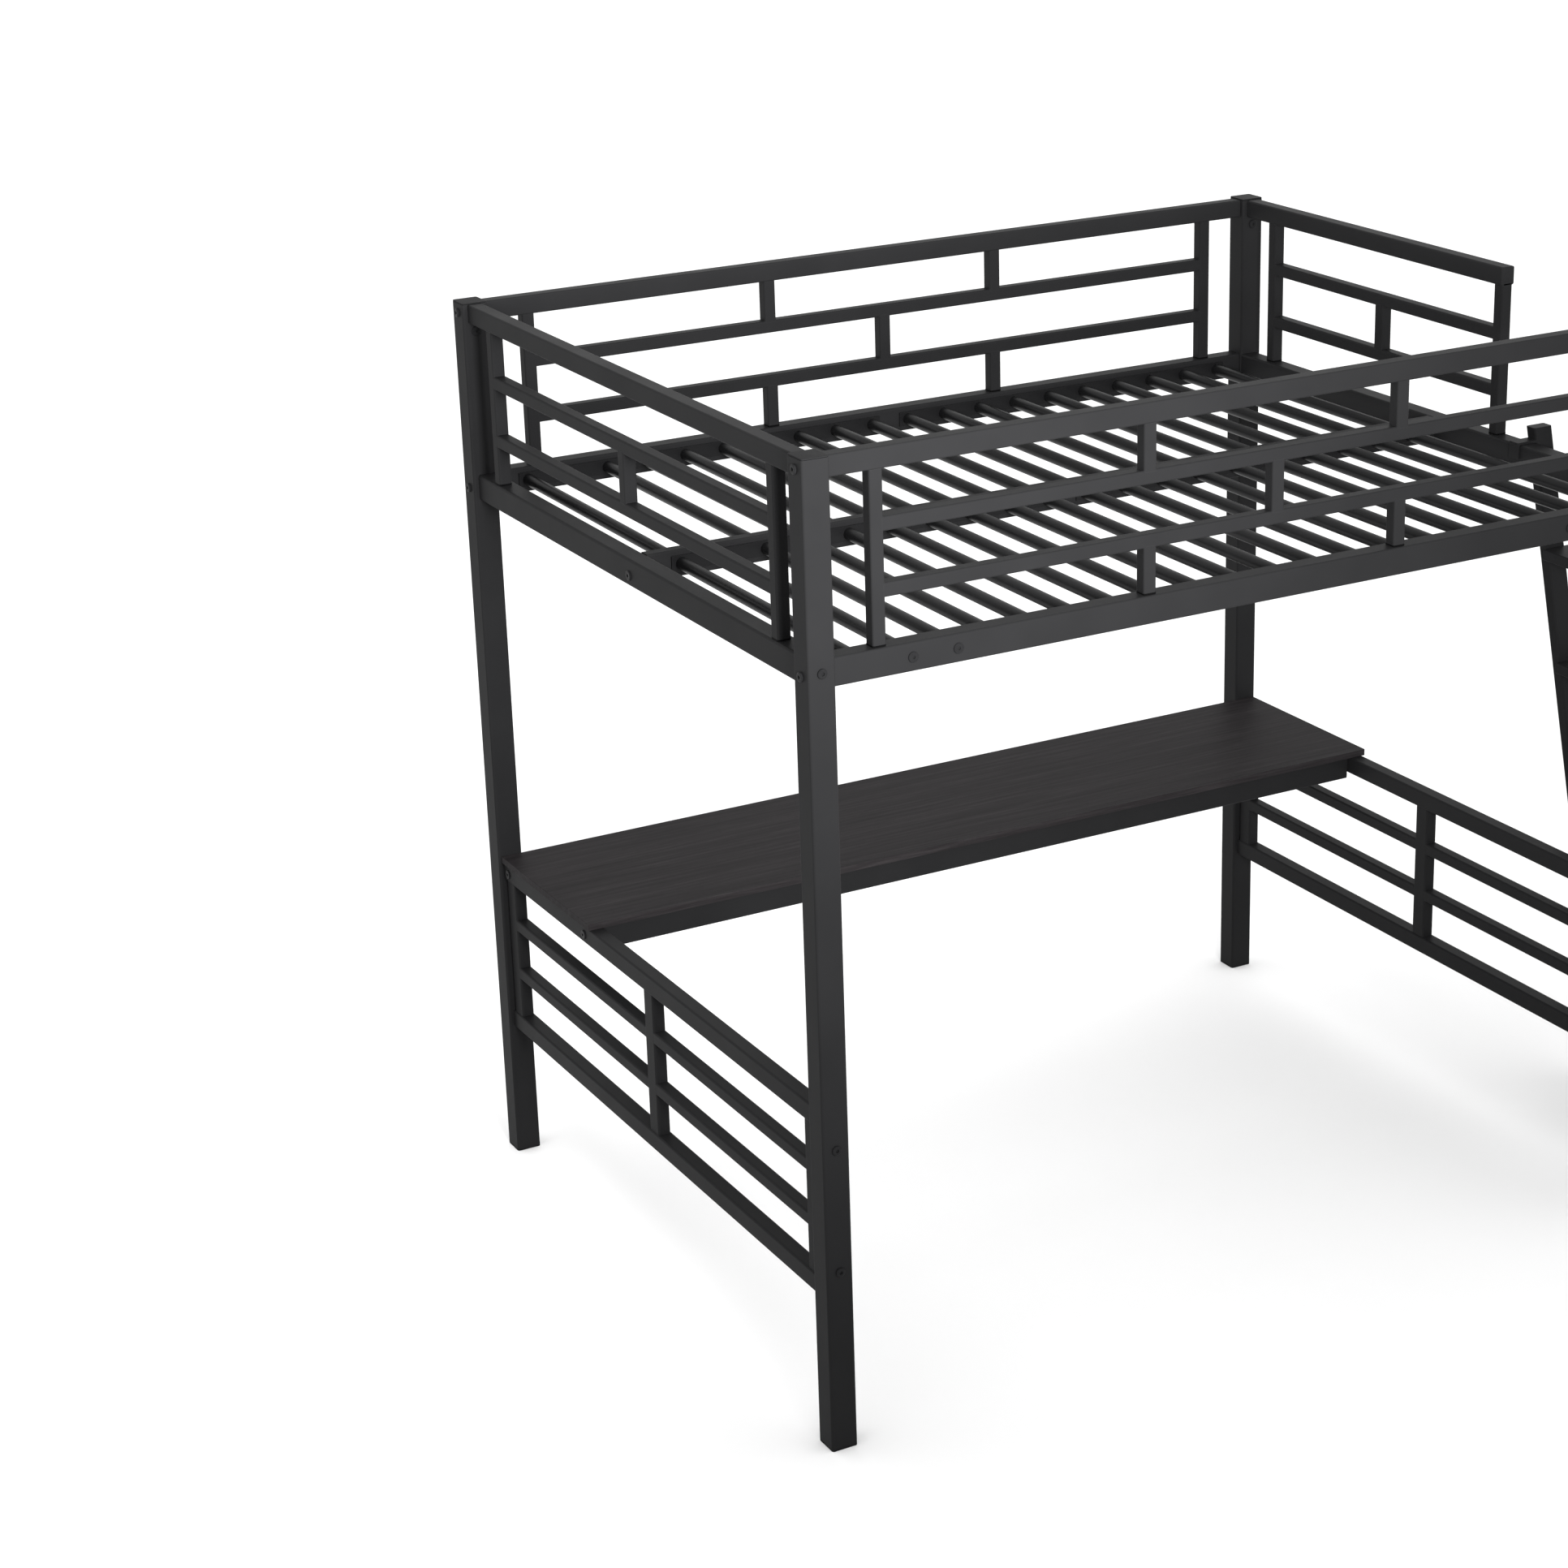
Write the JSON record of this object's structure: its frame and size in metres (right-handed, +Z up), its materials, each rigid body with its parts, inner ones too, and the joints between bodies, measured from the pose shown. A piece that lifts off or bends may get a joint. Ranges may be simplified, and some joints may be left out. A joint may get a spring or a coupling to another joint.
{
  "type": "loft bed with desk",
  "caption": "Metal loft bed with a slatted base, low barred guards all round, a long desk board underneath along the back, barred end panels and an end ladder.",
  "frame": {"origin": "on the floor, at the middle of the bed and its ladder seen from above", "axes": "+X along the bed towards the ladder end, +Y towards the back where the desk is, +Z up"},
  "size_m": [2.4742, 1.6486, 2.052],
  "materials": {
    "frame_paint": "matte black powder coat",
    "slat_paint": "matte black powder coat",
    "cap_plastic": "matte black",
    "desk_laminate": "dark wood-grain laminate, matte",
    "bolt_steel": "black oxide"
  },
  "bodies": {
    "root": {"post_front_left": "frame_paint", "foot_pad_front_left": "cap_plastic", "post_cap_front_left": "cap_plastic", "post_back_left": "frame_paint", "foot_pad_back_left": "cap_plastic", "post_cap_back_left": "cap_plastic", "post_front_right": "frame_paint", "foot_pad_front_right": "cap_plastic", "post_cap_front_right": "cap_plastic", "post_back_right": "frame_paint", "foot_pad_back_right": "cap_plastic", "post_cap_back_right": "cap_plastic", "bed_rail_front": "frame_paint", "guard_front": "frame_paint", "bed_rail_back": "frame_paint", "guard_back": "frame_paint", "bed_rail_left": "frame_paint", "guard_left": "frame_paint", "bed_rail_right": "frame_paint", "guard_right": "frame_paint", "centre_beam": "frame_paint", "slat_rack_front_left": "slat_paint", "slat_rack_front_right": "slat_paint", "slat_rack_back_left": "slat_paint", "slat_rack_back_right": "slat_paint", "end_panel_left": "frame_paint", "end_panel_right": "frame_paint", "desk_board": "desk_laminate", "desk_beam_front": "frame_paint", "desk_beam_back": "frame_paint", "desk_cross_bar": "frame_paint", "ladder_stile_front": "frame_paint", "ladder_stile_back": "frame_paint", "ladder_step_1": "frame_paint", "ladder_step_2": "frame_paint", "ladder_step_3": "frame_paint", "ladder_step_4": "frame_paint", "ladder_step_5": "frame_paint", "bolt_end_rail_front_left": "bolt_steel", "bolt_panel_upper_front_left": "bolt_steel", "bolt_panel_lower_front_left": "bolt_steel", "bolt_side_rail_front_left": "bolt_steel", "bolt_guard_front_left": "bolt_steel", "bolt_end_rail_back_left": "bolt_steel", "bolt_panel_upper_back_left": "bolt_steel", "bolt_panel_lower_back_left": "bolt_steel", "bolt_side_rail_back_left": "bolt_steel", "bolt_guard_back_left": "bolt_steel", "bolt_end_rail_front_right": "bolt_steel", "bolt_panel_upper_front_right": "bolt_steel", "bolt_panel_lower_front_right": "bolt_steel", "bolt_side_rail_front_right": "bolt_steel", "bolt_guard_front_right": "bolt_steel", "bolt_end_rail_back_right": "bolt_steel", "bolt_panel_upper_back_right": "bolt_steel", "bolt_panel_lower_back_right": "bolt_steel", "bolt_side_rail_back_right": "bolt_steel", "bolt_guard_back_right": "bolt_steel"}
  },
  "joints": []
}
